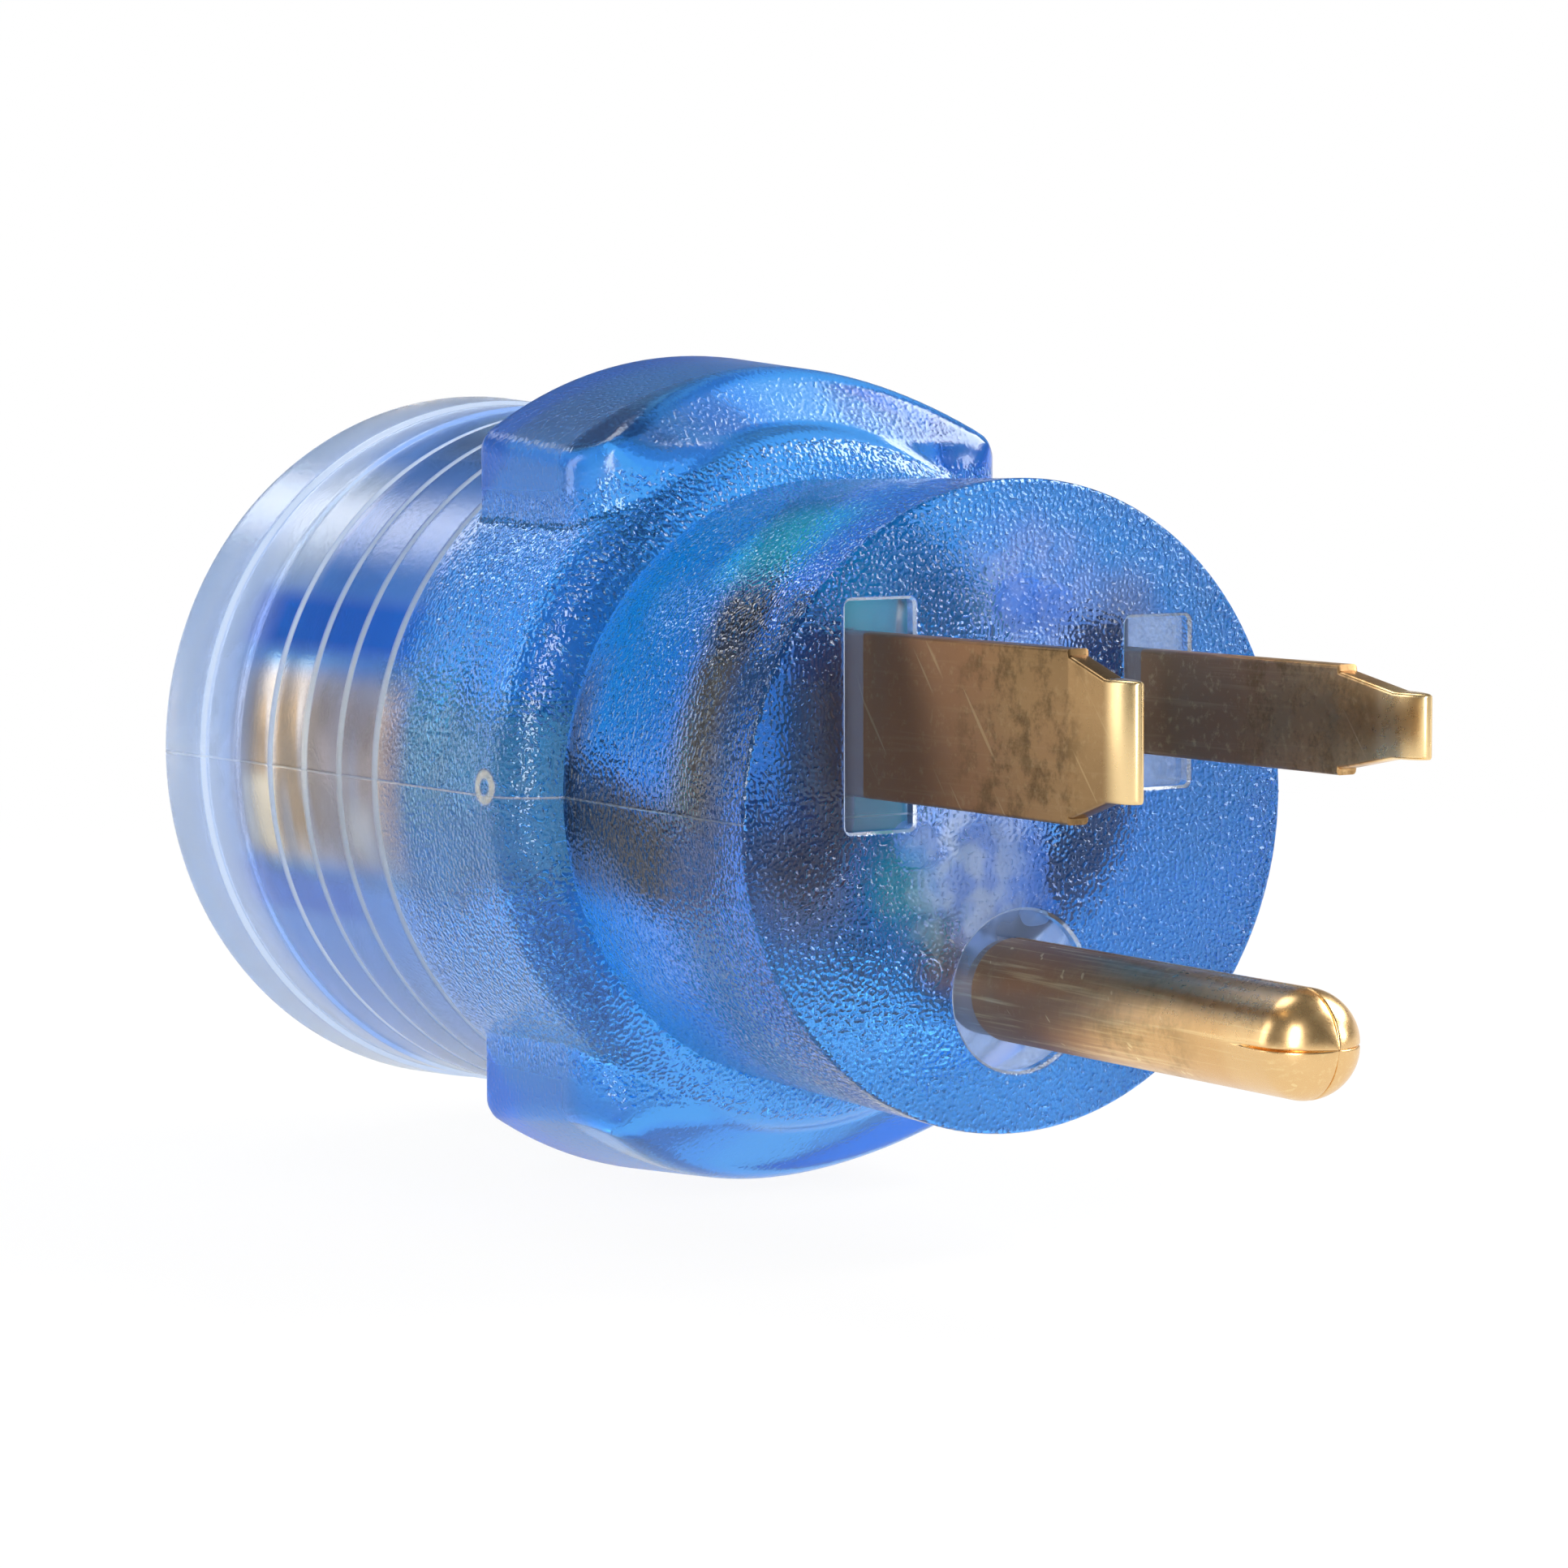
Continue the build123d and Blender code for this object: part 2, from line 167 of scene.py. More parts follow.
def skin_rows():
    """Rays for the rows of skin points. Those at the wings lean, so that steep walls get rows too."""
    core = 15.0
    lean = radians(25)
    fan_radius = 20.0
    fan_y = (wing_front + wing_rear) / 2 + 3.0
    fan_drop = (nose_base_radius - fan_radius) * tan(lean)
    edge_y = nose_edge_round * (1 - np.cos(np.linspace(0, pi / 2, 6)))
    nose_y = np.linspace(nose_edge_round, nose_length, 16)[1:]
    square_front = [(core, y, 0) for y in np.concatenate([edge_y, nose_y])]
    front_y = spread((nose_length + 0.05, wing_front + 5, 58), (wing_front + 5, fan_y - fan_drop, 16))
    leaning_front = [(nose_base_radius, y, -lean) for y in front_y]
    fan = [(fan_radius, fan_y, turn) for turn in np.linspace(-lean, lean, 24)]
    rear_y = spread((fan_y + fan_drop + 0.1, wing_rear - 1.9, 22))
    leaning_rear = [(nose_base_radius, y, lean) for y in rear_y]
    barrel_y = [np.linspace(wing_rear + 0.4, body_length - rim_edge_round, 44)]
    for i in range(groove_count):
        barrel_y.append(groove_first + i * groove_pitch + groove_width / 2 * np.linspace(-1.1, 1.1, 9))
    for step_y in (collar_y, rim_y):
        barrel_y.append(step_y + step_length * np.linspace(-0.2, 1.2, 6))
    end_y = body_length - rim_edge_round * (1 - np.sin(np.linspace(0, pi / 2, 10)))
    square_rear = [(core, y, 0) for y in np.unique(np.concatenate(barrel_y + [end_y]).round(2))]
    return np.array(square_front + leaning_front + fan + leaning_rear + square_rear)


def clock_angles():
    """Angles round the body, closer together at the ends of the wings and at the flash line."""
    quarter = spread((0, 33, 17), (33, 47, 30), (47, 89, 27), (89, 89.7, 3), (89.7, 90, 3))
    quarters = [quarter, 180 - quarter[::-1], 180 + quarter, 360 - quarter[::-1]]
    flash_lines = np.array([90.0, 270.0])
    return np.radians(np.unique(np.concatenate(quarters + [flash_lines]).round(4) % 360))


def rounded_box_outline(centre_x, centre_z, half_width, half_height, corner, points_per_corner=5):
    """Corner-rounded box in the plug face, as (x, z) points."""
    points = []
    for quadrant, (side_x, side_z) in enumerate([(1, 1), (-1, 1), (-1, -1), (1, -1)]):
        for turn in np.linspace(0, pi / 2, points_per_corner) + quadrant * pi / 2:
            x = centre_x + side_x * (half_width - corner) + corner * cos(turn)
            z = centre_z + side_z * (half_height - corner) + corner * sin(turn)
            points.append((x, z))
    return points


def add_loop(bm, outline, y):
    """Closed loop of vertices at one station, with its edges."""
    verts = [bm.verts.new((x * mm, y * mm, z * mm)) for x, z in outline]
    edges = [bm.edges.new((a, b)) for a, b in zip(verts, verts[1:] + verts[:1])]
    return verts, edges


def add_band(bm, first, second):
    """Smooth faces between two loops with as many vertices."""
    for i in range(len(first)):
        j = (i + 1) % len(first)
        bm.faces.new((first[i], first[j], second[j], second[i])).smooth = True


# Pockets in the plug face: a square one round each blade, a round one round the pin
blade_x = 12.7
blade_z = 7.42
pin_z = -13.83
pocket_depth = 1.0
pocket_half_width = 3.0
pocket_lip = 0.28
pocket_corner = 0.45
wide_pocket_half_height = 8.5
narrow_pocket_half_height = 6.5
pin_pocket_radius = 6.1


def pocket_outlines(grow):
    """Outlines of the three pockets, grown by a margin."""
    outlines = []
    for x, half_height in ((-blade_x, wide_pocket_half_height), (blade_x, narrow_pocket_half_height)):
        half_width = pocket_half_width + grow
        outlines.append(rounded_box_outline(x, blade_z, half_width, half_height + grow, pocket_corner + grow))
    turns = np.linspace(0, 2 * pi, 72, endpoint=False)
    radius = pin_pocket_radius + grow
    outlines.append([(radius * cos(turn), pin_z + radius * sin(turn)) for turn in turns])
    return outlines


def close_face(bm, front_edges):
    """Plug face with its three pockets, each with a small lip, a wall and a floor."""
    face_edges = list(front_edges)
    for lip, wall in zip(pocket_outlines(pocket_lip), pocket_outlines(0)):
        lip_verts, lip_edges = add_loop(bm, lip, 0)
        wall_verts, _ = add_loop(bm, wall, pocket_lip)
        floor_verts, _ = add_loop(bm, wall, pocket_depth)
        add_band(bm, lip_verts, wall_verts)
        add_band(bm, wall_verts, floor_verts)
        bm.faces.new(floor_verts)
        face_edges += lip_edges
    bmesh.ops.triangle_fill(bm, use_beauty=True, edges=face_edges)


def finished_mesh(bm, name, sharp_angle):
    """Plain mesh from a closed skin, with its faces turned outwards and its sharper edges kept."""
    bmesh.ops.recalc_face_normals(bm, faces=bm.faces)
    mesh = bpy.data.meshes.new(name)
    bm.to_mesh(mesh)
    bm.free()
    mesh.set_sharp_from_angle(angle=radians(sharp_angle))
    return mesh


def body_mesh():
    """The body's outside skin, the pockets in its face and the socket for the outlet, as one closed mesh."""
    angles = clock_angles()
    ray_reach = 25.0
    radius, y = cast_rows(skin_rows(), angles, ray_reach)
    turns = np.linspace(0, pi / 2, 5)
    bore = socket_radius - bedding
    mouth_radius = np.append(bore + mouth_round * (1 - np.sin(turns)), bore)
    mouth_y = np.append(body_length - mouth_round * (1 - np.cos(turns)), socket_front + bedding)
    radius = np.concatenate([radius, np.repeat(mouth_radius[:, None], len(angles), 1)])
    y = np.concatenate([y, np.repeat(mouth_y[:, None], len(angles), 1)])
    points = np.stack([radius * np.sin(angles), y, radius * np.cos(angles)], -1).reshape(-1, 3) * mm
    count = len(angles)
    bm = bmesh.new()
    verts = [bm.verts.new(point) for point in points]
    loops = [verts[i : i + count] for i in range(0, len(verts), count)]
    for first, second in zip(loops, loops[1:]):
        add_band(bm, first, second)
    front_edges = [bm.edges.get((a, b)) for a, b in zip(loops[0], loops[0][1:] + loops[0][:1])]
    bm.faces.new(loops[-1])
    close_face(bm, front_edges)
    return finished_mesh(bm, "overmould", 38)


class Shade:
    """One socket of a node tree. Arithmetic adds Math nodes, and node() adds any other node."""

    def __init__(self, tree, socket=None):
        self.tree = tree
        self.socket = socket

    def node(self, kind, settings, sockets, out=0):
        made = self.tree.nodes.new(kind)
        for name, value in settings.items():
            setattr(made, name, value)
        for key, value in sockets.items():
            if isinstance(value, Shade):
                self.tree.links.new(value.socket, made.inputs[key])
            else:
                made.inputs[key].default_value = value
        return Shade(self.tree, made.outputs[out] if made.outputs else None)

    def math(self, operation, first, second=0.0):
        return self.node("ShaderNodeMath", {"operation": operation}, {0: first, 1: second})

    def __add__(self, other):
        return self.math("ADD", self, other)

    def __sub__(self, other):
        return self.math("SUBTRACT", self, other)

    def __rsub__(self, other):
        return self.math("SUBTRACT", other, self)

    def __mul__(self, other):
        return self.math("MULTIPLY", self, other)

    def __truediv__(self, other):
        return self.math("DIVIDE", self, other)

    __radd__ = __add__
    __rmul__ = __mul__

    def most(self, *others):
        """The largest of several values."""
        largest = self
        for other in others:
            largest = self.math("MAXIMUM", largest, other)
        return largest

    def parts(self):
        """The three parts of a place, in mm."""
        split = self.node("ShaderNodeSeparateXYZ", {}, {"Vector": self}).socket.node.outputs
        return [Shade(self.tree, split[axis]) * (1 / mm) for axis in "XYZ"]

    def rise(self, low, high):
        """From 0 at low to 1 at high, eased at both ends."""
        ends = {"Value": self, "From Min": low, "From Max": high}
        return self.node("ShaderNodeMapRange", {"interpolation_type": "SMOOTHSTEP"}, ends)

    def between(self, low, high, soft):
        """1 from low to high, fading to 0 over a soft margin at each end."""
        return self.rise(low - soft, low + soft) * (1 - self.rise(high - soft, high + soft))

    def noise(self, vector, scale, detail=2.0, roughness=0.5):
        sockets = {"Vector": vector, "Scale": scale, "Detail": detail, "Roughness": roughness}
        return self.node("ShaderNodeTexNoise", {}, sockets)

    def mix(self, factor, first, second):
        """Colour mix."""
        return self.node("ShaderNodeMix", {"data_type": "RGBA"}, {0: factor, 6: first, 7: second}, 2)


def new_finish(name):
    """Empty node material, the start of its maths, and its Object coordinates."""
    material = bpy.data.materials.new(name)
    material.use_nodes = True
    material.node_tree.nodes.clear()
    shade = Shade(material.node_tree)
    return material, shade, shade.node("ShaderNodeTexCoord", {}, {}, "Object")


def set_surface(shade, sockets):
    """Ends a material in one Principled shader."""
    surface = shade.node("ShaderNodeBsdfPrincipled", {}, sockets)
    shade.node("ShaderNodeOutputMaterial", {}, {"Surface": surface})


def dress(piece, material):
    """Gives a finished piece its material and its slot, and lets it ride."""
    piece.data.materials.clear()
    piece.data.materials.append(material)
    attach(piece, "root")


def distance_from(shade, place, centre):
    """Distance from a point, in mm."""
    ends = {0: place, 1: Vector(centre) * mm}
    return shade.node("ShaderNodeVectorMath", {"operation": "DISTANCE"}, ends, 1) * (1 / mm)


def ring_mark(shade, place, centre, radius, width):
    """Raised ring on the skin about a point, from 0 to 1."""
    offset = distance_from(shade, place, centre) - radius
    return 1 - shade.math("ABSOLUTE", offset).rise(0.4 * width, width)


def soft_spot(shade, place, centre, reach):
    """Patch that fades out from a point, from 1 to 0."""
    return 1 - distance_from(shade, place, centre).rise(0.2 * reach, reach)


# Tones of the body, by the clock angle in degrees and by the depth behind the plug face in mm
skin_blue = (0.008, 0.2, 0.88, 1.0)
rim_blue = (0.68, 0.8, 1.0, 1.0)
pocket_blue = (0.4, 0.58, 1.0, 1.0)
# White of the gate mark and milky cloud, also used as painted highlight at pocket lips, grooves and flash
# line
scuff_and_highlight_white = (0.92, 0.96, 1.0, 1.0)


def inner_nose(shade, x, y, z):
    """Blue of the nose, the shoulder and the wings, with the tone of the wires close under the nose and a
    near-black patch over the wide blade's clasp.
    """
    teal = (0.0, 0.12, 0.5, 1.0)
    cyan = (0.0, 0.6, 1.0, 1.0)
    near_black = (0.02, 0.024, 0.04, 1.0)
    slate = (0.2, 0.22, 0.27, 1.0)
    side = shade.math("ARCTAN2", shade.math("ABSOLUTE", x), z) * (180 / pi)
    on_nose = 1 - y.rise(nose_length - 0.9, nose_length + 0.6)
    on_left = 1 - x.rise(-6, -2)
    green_wire = side.between(20, 84, 9) * y.between(12, 27, 3) * on_nose
    green_end = side.between(24, 45, 6) * y.between(6, 15, 3) * on_left
    clasp_side = side.between(58, 92, 5) * y.between(5, 10.5, 2)
    # Near-black patch over the top of the wide blade's clasp.
    dark_patch_over_clasp = side.between(48, 59, 4) * y.between(4, 12, 2)
    black_wire = side.between(87, 108, 5) * (y - 0.25 * (side - 95)).rise(7, 13) * on_nose
    black_end = side.between(66, 106, 8) * y.rise(22, 26) * on_nose
    base = shade.mix(green_wire, skin_blue, teal)
    base = shade.mix(green_end, base, cyan)
    base = shade.mix(clasp_side, base, slate)
    return shade.mix(dark_patch_over_clasp.most(black_wire, black_end) * 0.92, base, near_black)


def inner_face(shade, place, x, z):
    """Blue of the plug face, with the tone of the clasps and the green wire that lie behind it, and a painted
    reflection of the pin.
    """
    slate = (0.1, 0.11, 0.15, 1.0)
    umber = (0.35, 0.2, 0.12, 1.0)
    teal = (0.0, 0.42, 0.7, 1.0)
    clasp = x.between(-19, -15, 2.5) * z.between(-5, 13, 5) * 0.75
    black_wire = soft_spot(shade, place, (-19.5, 0.0, -4.5), 7.0) * 0.7
    narrow_clasp = soft_spot(shade, place, (9.5, 0.0, 14.5), 4.5) * 0.5
    green_wire = soft_spot(shade, place, (-11.0, 0.0, -5.0), 4.5) * 0.8
    # Painted reflection: a brown patch at the upper left of the pin stands for the brass pin mirrored in the
    # face.
    painted_pin_reflection = soft_spot(shade, place, (-6.5, 0.0, -10.5), 4.0) * 0.6
    base = shade.mix(green_wire, skin_blue, teal)
    base = shade.mix(painted_pin_reflection, base, umber)
    return shade.mix(clasp.most(black_wire, narrow_clasp), base, slate)


def inner_barrel(shade, place, x, y, z):
    """Blue of the barrel, with the tone of the three contacts, painted glints on them, painted shade in
    darker bands beside them, and painted highlight streaks near the collar.
    """
    barrel_blue = (0.09, 0.34, 1.0, 1.0)
    deep = (0.0, 0.12, 0.85, 1.0)
    dusk = (0.03, 0.24, 0.85, 1.0)
    clear = (0.85, 0.93, 1.0, 1.0)
    tin = (0.5, 0.48, 0.6, 1.0)
    umber = (0.42, 0.27, 0.17, 1.0)
    cream = (1.0, 0.93, 0.82, 1.0)
    thirds = shade.math("ARCTAN2", x, z) * (1.5 / pi) + 0.75
    offset = (shade.math("FRACT", thirds + 0.5) - 0.5) * 120
    ringed = shade.node("ShaderNodeMapping", {}, {"Vector": place, "Scale": (0.2, 1.0, 0.2)})
    streaks = shade.noise(ringed, 420.0, 0.0)
    base = shade.mix(offset.between(30, 62, 4) * y.between(42, 66, 2), barrel_blue, dusk)
    # Painted highlight: whitish streaks near the collar, beside every contact.
    base = shade.mix(offset.between(31, 56, 5) * y.between(66.5, 77, 1.5), base, clear)
    # Painted shade: darker blue bands on each side of every contact.
    base = shade.mix(offset.between(19.5, 29, 2) * y.between(36, 75, 2), base, deep)
    base = shade.mix(offset.between(-25, -16.5, 2) * y.between(55, 79, 3) * 0.75, base, deep)
    metal = offset.between(-15, 16, 2.5) * y.between(44, 73, 2)
    base = shade.mix(metal, base, tin)
    tarnish = offset.between(-12, 13, 4) * (0.5 + 0.5 * y.between(58, 70, 3)) * streaks.rise(0.3, 0.52)
    base = shade.mix(metal * tarnish, base, umber)
    # Painted highlight: cream glints on the contacts.
    gleam = offset.between(-14, -2, 2) * y.between(66.3, 72, 0.5)
    small_gleam = offset.between(-13, -5, 3) * y.between(50, 54, 1.2)
    return shade.mix(gleam.most(small_gleam * 0.8), base, cream)


def blue_plastic():
    """Hazy clear blue: the skin tints it, and its spark texture blurs what lies inside."""
    material, shade, place = new_finish("blue_overmould")
    x, y, z = place.parts()
    radius = shade.math("SQRT", x * x + z * z)
    across, height = (shade.math("ABSOLUTE", axis) for axis in (x, z))
    in_pocket = (1 - radius.rise(nose_base_radius - 0.7, nose_base_radius - 0.5)) * y.rise(0.03, 0.1)
    on_lip = in_pocket * (1 - y.rise(pocket_lip - 0.04, pocket_lip + 0.06))
    on_face = 1 - y.rise(0.02, 0.3)
    over_wing = height.rise(wing_crease - 2.0, wing_crease - 0.5)
    over_wing = over_wing * (1 - across.rise(wing_half_width, wing_half_width + 0.3))
    over_wing = over_wing * y.rise(wing_front - 0.4, wing_front)
    proud = radius.rise(barrel_rear_radius + 0.2, wing_rear_radius - 3.0)
    on_wing = over_wing.most(proud) * (1 - y.rise(wing_rear + 0.1, wing_rear + 0.5))
    on_bevel = on_wing * (1 - y.rise(wing_front + 5.1, wing_front + 6.6))
    on_barrel = y.rise(wing_rear - 4.5, wing_rear + 2.5) * (1 - on_wing)
    turns = (y - groove_first) * (1 / groove_pitch)
    from_groove = shade.math("ABSOLUTE", shade.math("FRACT", turns + 0.5) - 0.5) * groove_pitch
    in_groove = (1 - from_groove.rise(0.25, 0.6)) * y.between(wing_rear, groove_last + 1.1, 0.5)
    on_flash = (1 - height.rise(0.04, 0.12)) * (1 - on_face)

    pits = shade.noise(place, 3000.0, 0.0)
    ripple = shade.noise(place, 1300.0, 1.0)
    gate = ring_mark(shade, place, gate_place, radius=1.05, width=0.5)
    ejector = ring_mark(shade, place, ejector_place, radius=0.95, width=0.25)
    relief = pits * 0.75 + pits.rise(0.62, 0.76) * 1.3 + ripple * 0.45 + gate + ejector * 0.8
    grain = (1 - 0.94 * on_barrel - 0.72 * on_wing - 0.2 * on_bevel) * (1 - in_pocket)
    bump = shade.node("ShaderNodeBump", {}, {"Strength": grain, "Distance": 0.16 * mm, "Height": relief})

    flow = shade.noise(place, 420.0, 1.0).rise(0.38, 0.62)
    cloud = soft_spot(shade, place, (-5.0, 0.0, -5.5), 9.0) * (0.35 + 0.65 * flow)
    haze = soft_spot(shade, place, (0.5, 0.0, 14.5), 9.0) * (0.08 + 0.16 * flow)
    cloud = cloud.most(haze) * on_face
    roughness = 0.08 + 0.03 * in_pocket + 0.04 * on_face + 0.45 * cloud
    roughness = roughness + 0.16 * on_barrel + 0.22 * on_wing - 0.14 * on_bevel
    roughness = roughness + 0.35 * in_groove + 0.3 * gate + 0.2 * on_flash

    base = shade.mix(on_face, inner_nose(shade, x, y, z), inner_face(shade, place, x, z))
    base = shade.mix(on_barrel, base, inner_barrel(shade, place, x, y, z))
    base = shade.mix(y.rise(collar_y - 3.3, rim_y + 1.0), base, rim_blue)
    base = shade.mix(in_pocket, base, pocket_blue)
    # White mixed into the skin: the plastic's own at the gate mark and in the milky cloud, painted highlight
    # at the pocket lips, the grooves and the flash line.
    scuffs_and_highlights = in_groove.most(gate, on_flash * 0.4, cloud * 0.8, on_lip)
    base = shade.mix(scuffs_and_highlights, base, scuff_and_highlight_white)
    plastic = {
        "Base Color": base,
        "Roughness": roughness,
        "IOR": 1.5,
        "Transmission Weight": 0.9,
        "Normal": bump,
    }
    set_surface(shade, plastic)
    return material


def add_piece(name, mesh):
    """Object for a finished mesh, at the origin."""
    piece = bpy.data.objects.new(name, mesh)
    bpy.context.scene.collection.objects.link(piece)
    return piece


def groove_tree(sizes, material):
    """Tree that presses evenly spaced ring grooves into the outside of a turned skin."""
    tree = bpy.data.node_groups.new("ring_grooves", "GeometryNodeTree")
    tree.interface.new_socket("Geometry", in_out="INPUT", socket_type="NodeSocketGeometry")
    for name in sizes:
        tree.interface.new_socket(name, in_out="INPUT", socket_type="NodeSocketFloat")
    tree.interface.new_socket("Geometry", in_out="OUTPUT", socket_type="NodeSocketGeometry")
    skin = Shade(tree).node("NodeGroupInput", {}, {}, "Geometry")
    given = skin.socket.node.outputs
    first, pitch, count, width, depth, core = (Shade(tree, given[name]) for name in sizes)
    place = skin.node("GeometryNodeInputPosition", {}, {})
    parts = skin.node("ShaderNodeSeparateXYZ", {}, {"Vector": place}).socket.node.outputs
    x, y, z = (Shade(tree, parts[axis]) for axis in "XYZ")
    radius = skin.math("SQRT", x * x + z * z)
    nearest = skin.math("MAXIMUM", skin.math("ROUND", (y - first) / pitch), 0.0)
    nearest = skin.math("MINIMUM", nearest, count - 1)
    across = skin.math("ABSOLUTE", y - first - nearest * pitch) / (width * 0.5)
    section = 0.5 + 0.5 * skin.math("COSINE", skin.math("MINIMUM", across, 1.0) * pi)
    press = section * depth * skin.math("GREATER_THAN", radius, core)
    inward = skin.node("ShaderNodeCombineXYZ", {}, {"X": x / radius * -1, "Z": z / radius * -1})
    offset = skin.node("ShaderNodeVectorMath", {"operation": "SCALE"}, {0: inward, "Scale": press})
    pressed = skin.node("GeometryNodeSetPosition", {}, {"Geometry": skin, "Offset": offset})
    plain = skin.node("GeometryNodeRealizeInstances", {}, {"Geometry": pressed})
    dressed = skin.node("GeometryNodeSetMaterial", {}, {"Geometry": plain, "Material": material})
    skin.node("NodeGroupOutput", {}, {"Geometry": dressed})
    return tree


def press_grooves(piece, sizes, material):
    """Runs the groove tree on a piece and keeps the result as its plain mesh."""
    tree = groove_tree(sizes, material)
    modifier = piece.modifiers.new("ring_grooves", "NODES")
    modifier.node_group = tree
    for item in tree.interface.items_tree:
        if item.name in sizes:
            modifier[item.identifier] = sizes[item.name]
    depsgraph = bpy.context.evaluated_depsgraph_get()
    grooved = bpy.data.meshes.new_from_object(piece.evaluated_get(depsgraph), depsgraph=depsgraph)
    piece.modifiers.remove(modifier)
    piece.data = grooved


groove_sizes = {
    "First": groove_first * mm,
    "Pitch": groove_pitch * mm,
    "Count": float(groove_count),
    "Width": groove_width * mm,
    "Depth": groove_depth * mm,
    "Core": nose_base_radius * mm,
}
overmould = add_piece("overmould", body_mesh())
blue = blue_plastic()
press_grooves(overmould, groove_sizes, blue)
dress(overmould, blue)
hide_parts("overmould_body", "carrier_cap", "contact_carrier")


# Spacer: a small clear moulding that holds the prongs in line while the body is moulded round them.
# The hot blue plastic half melts it, so most of it can't be told from the body, with milky lumps beside it.
def dress_node(name, material):
    """Gives a carried-over node its material."""
    nodes[name].data.materials.clear()
    nodes[name].data.materials.append(material)


def half_melted(name, in_patches):
    """Whitish, cloudy plastic, partly clear. In patches, it is milky only from the crossbar to the pin."""
    blue_milk = (0.62, 0.74, 0.93, 1.0)
    white_milk = (0.9, 0.95, 1.0, 1.0)
    material, shade, place = new_finish(name)
    cloud = shade.noise(place, 330.0, 3.0, 0.6)
    if in_patches:
        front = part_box("prong_bridge")[0].y / mm
        lumps = shade.noise(place, 360.0, 1.0).rise(0.36, 0.56)
        by_pin = soft_spot(shade, place, (-0.5, front, -4.5), 6.5)
        over_pin = soft_spot(shade, place, (-2.5, front, -9.0), 4.5)
        alpha = by_pin.most(over_pin) * (0.3 + 0.7 * lumps) * 0.9
    else:
        alpha = 0.3 + 0.4 * cloud
    base = shade.mix(cloud, blue_milk, white_milk)
    milk = {"Base Color": base, "Roughness": 0.4 + 0.2 * cloud, "IOR": 1.5, "Alpha": alpha}
    set_surface(shade, milk)
    return material


def lump_mesh():
    """Uneven lumps level with the spacer, each a ball that is flattened and pushed about."""
    low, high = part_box("prong_bridge")
    middle_y = (low.y + high.y) / 2
    half_depth = 0.8 * (high.y - low.y) / 2
    largest_push = 1.2
    by_pin = [(-7.8, -2.5, 2.0), (-5.3, -5.5, 2.3), (-1.9, -3.0, 2.2)]
    by_pin += [(-1.3, -6.6, 2.2), (1.9, -5.0, 2.3), (3.4, -8.0, 1.5)]
    over_crossbar = [(1.4, 15.2, 2.3), (4.6, 14.6, 1.8)]
    bm = bmesh.new()
    for x, z, radius in by_pin + over_crossbar:
        ball = bmesh.ops.create_icosphere(bm, subdivisions=4, radius=1.0)["verts"]
        centre = Vector((x * mm, middle_y, z * mm))
        for vert in ball:
            push = 1 + 0.25 * noise.noise(vert.co * 1.2 + Vector((x, 0.0, z)))
            flat = Vector((vert.co.x * radius * mm, vert.co.y * half_depth, vert.co.z * radius * mm))
            vert.co = centre + flat * min(push, largest_push)
    for face in bm.faces:
        face.smooth = True
    return finished_mesh(bm, "milky_spacer", 60)


dress_node("prong_bridge", half_melted("milky_spacer", in_patches=True))
spacer_lumps = add_piece("milky_spacer", lump_mesh())
dress(spacer_lumps, half_melted("milky_lumps", in_patches=False))

# Blades: brass strip, folded double at the tip and coined along its edges. The tail is rolled round the
# wire. They are plugged in often, so the brass is brown at the root and rubbed bright towards the tip; the
# brightest band at the fold is partly painted highlight.
blade_half_thickness = 0.9
blade_edge_round = 0.3
blade_notch = 0.45
fold_round = 0.85
fold_length = 3.1
tail_y = 7.0
neck_half_width = 2.0
clasp_drop = 6.5
clasp_inner_radius = 2.7
clasp_outer_radius = 3.3
clasp_edge_round = 0.2
clasp_seam_angle = radians(7)


def strip_section(half_width, half_thickness, points_per_corner=5):
    """Section of a strip with rounded edges, as (x, z) points."""
    corner = min(blade_edge_round, 0.95 * half_thickness, 0.95 * half_width)
    return rounded_box_outline(0, 0, half_thickness, half_width, corner, points_per_corner)


def loft(bm, loops):
    """Closed skin through a run of loops of points."""
    rings = [[bm.verts.new(Vector(point) * mm) for point in loop] for loop in loops]
    for first, second in zip(rings, rings[1:]):
        add_band(bm, first, second)
    bm.faces.new(rings[0])
    bm.faces.new(rings[-1])


def clasp_outline(shrink):
    """Rolled strip seen along the wire: a ring that is open at a narrow seam on its rear side."""
    turns = np.linspace(pi / 2 + clasp_seam_angle, 5 * pi / 2 - clasp_seam_angle, 45)
    outer = clasp_outer_radius - shrink
    outside = [(outer * cos(turn), outer * sin(turn)) for turn in turns]
    inside = [(clasp_inner_radius * cos(turn), clasp_inner_radius * sin(turn)) for turn in reversed(turns)]
    return outside + inside


def clasp_loops(x, y, low_z, high_z):
    """Loops of the clasp from its lower to its upper end, with the edges rolled."""
    levels = [(low_z, clasp_edge_round), (low_z + clasp_edge_round, 0)]
    levels += [(high_z - clasp_edge_round, 0), (high_z, clasp_edge_round)]
    return [[(x + u, y + v, z) for u, v in clasp_outline(shrink)] for z, shrink in levels]


